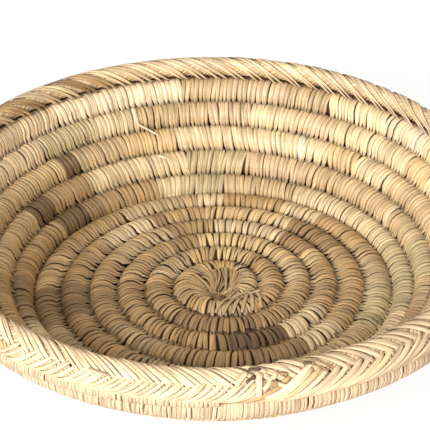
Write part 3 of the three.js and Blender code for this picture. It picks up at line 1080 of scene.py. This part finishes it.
def buildBasket():
    leaf = leafMaterial("palmLeaf", {
        "roughness": 0.45, "specular": 0.5, "fibreAlong": 50, "fibreAcross": 950, "streakDepth": 0.54,
        "blotchScale": 70, "blotchDepth": 0.14, "bump": 0.7, "bumpDepth": 0.4 * mm,
    })
    # the ribs' dark colours are painted shade, for the shade deep in the gaps between the wraps and under the
    # border
    ribs = bundleMaterial("leafRibsShade", {
        "dark": (34, 23, 15), "light": (92, 66, 42), "scale": 900, "roughness": 0.9,
    })
    core = bundleMaterial("borderCore", {
        "dark": (96, 68, 42), "light": (176, 140, 92), "scale": 700, "roughness": 0.9,
    })
    pieces = bundlePieces(ribs) + curlPieces(leaf, ribs)
    print("bundle and curl made")
    pieces += stitchPieces(leaf)
    print("wraps made")
    pieces += borderPieces(leaf, core, ribs)
    print("border made")
    pieces += [looseStripPiece(name, route, leaf) for name, route in looseStrips.items()]
    for piece in pieces:
        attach(piece, "root")
    print("basket made of", len(pieces), "pieces")


studioLook = {
    "floorSize": 6,
    "floorDrop": 0.3 * mm,
    "floorColor": (0.82, 0.82, 0.82, 1),
    "floorRoughness": 0.95,
    "floorGlow": 1.04,
    "floorWhite": 0.88,  # how much of the glow the camera sees, over the basket's shadow
    "skyColor": (1, 0.95, 0.88, 1),
    "skyStrength": 0.66,
    "skyWhite": 1.05,
    "key": (-1.45, -2.78, 1.2),
    "keySize": 1.7,
    "keyPower": 192,
    "aim": (0, 0, 0.04),
}


# A pale floor that the camera sees white, apart from the basket's shadow
def floorMaterial():
    material, nodes, links = newMaterial("paleFloor")
    shader = nodes["Principled BSDF"]
    shader.inputs["Base Color"].default_value = studioLook["floorColor"]
    shader.inputs["Roughness"].default_value = studioLook["floorRoughness"]
    glow = nodes.new("ShaderNodeEmission")
    glow.inputs["Color"].default_value = (1, 1, 1, 1)
    glow.inputs["Strength"].default_value = studioLook["floorGlow"]
    path = nodes.new("ShaderNodeLightPath")
    share = nodes.new("ShaderNodeMath")
    share.operation = "MULTIPLY"
    share.inputs[1].default_value = studioLook["floorWhite"]
    links.new(path.outputs["Is Camera Ray"], share.inputs[0])
    mix = nodes.new("ShaderNodeMixShader")
    links.new(share.outputs["Value"], mix.inputs["Fac"])
    links.new(shader.outputs["BSDF"], mix.inputs[1])
    links.new(glow.outputs["Emission"], mix.inputs[2])
    links.new(mix.outputs["Shader"], nodes["Material Output"].inputs["Surface"])
    return material


# Dim and warm for the basket, white for the camera
def skyWorld():
    world = bpy.data.worlds.new("studioWorld")
    scene.world = world
    world.use_nodes = True
    nodes = world.node_tree.nodes
    links = world.node_tree.links
    back = nodes["Background"]
    back.inputs["Color"].default_value = studioLook["skyColor"]
    back.inputs["Strength"].default_value = studioLook["skyStrength"]
    white = nodes.new("ShaderNodeBackground")
    white.inputs["Color"].default_value = (1, 1, 1, 1)
    white.inputs["Strength"].default_value = studioLook["skyWhite"]
    path = nodes.new("ShaderNodeLightPath")
    mix = nodes.new("ShaderNodeMixShader")
    links.new(path.outputs["Is Camera Ray"], mix.inputs["Fac"])
    links.new(back.outputs["Background"], mix.inputs[1])
    links.new(white.outputs["Background"], mix.inputs[2])
    links.new(mix.outputs["Shader"], nodes["World Output"].inputs["Surface"])


def softLamp(name, place, size, power):
    data = bpy.data.lights.new(name, "AREA")
    data.size = size
    data.energy = power
    made = bpy.data.objects.new(name, data)
    scene.collection.objects.link(made)
    made.location = place
    made.rotation_euler = (Vector(studioLook["aim"]) - Vector(place)).to_track_quat("-Z", "Y").to_euler()


def studio():
    bpy.ops.object.select_all(action="DESELECT")
    bpy.ops.mesh.primitive_plane_add(size=studioLook["floorSize"], location=(0, 0, -studioLook["floorDrop"]))
    floor = bpy.context.object
    floor.name = "studio_floor"
    floor.data.materials.append(floorMaterial())
    skyWorld()
    softLamp("keyLamp", studioLook["key"], studioLook["keySize"], studioLook["keyPower"])


# The camera as it was fitted to the photo, its angles in degrees
view = {
    "elevation": 34.0,
    "distance": 1.148,
    "lens": 159.1,
    "sensor": 36,
    "tiltUp": 2.35,
    "roll": 0.69,
}


def photographCamera():
    data = bpy.data.cameras.new("photographCamera")
    data.lens = view["lens"]
    data.sensor_width = view["sensor"]
    camera = bpy.data.objects.new("photographCamera", data)
    scene.collection.objects.link(camera)
    elevation = math.radians(view["elevation"])
    away = Vector((0, -math.cos(elevation), math.sin(elevation)))
    camera.location = Vector(bowl["place"]) + away * view["distance"]
    camera.rotation_mode = "XYZ"
    pitch = math.radians(90) - elevation + math.radians(view["tiltUp"])
    camera.rotation_euler = (pitch, 0, 0)
    camera.rotation_euler.rotate_axis("Z", math.radians(-view["roll"]))
    scene.camera = camera


scene.view_settings.view_transform = "Standard"
photographCamera()
studio()
print("studio ready")
buildBasket()
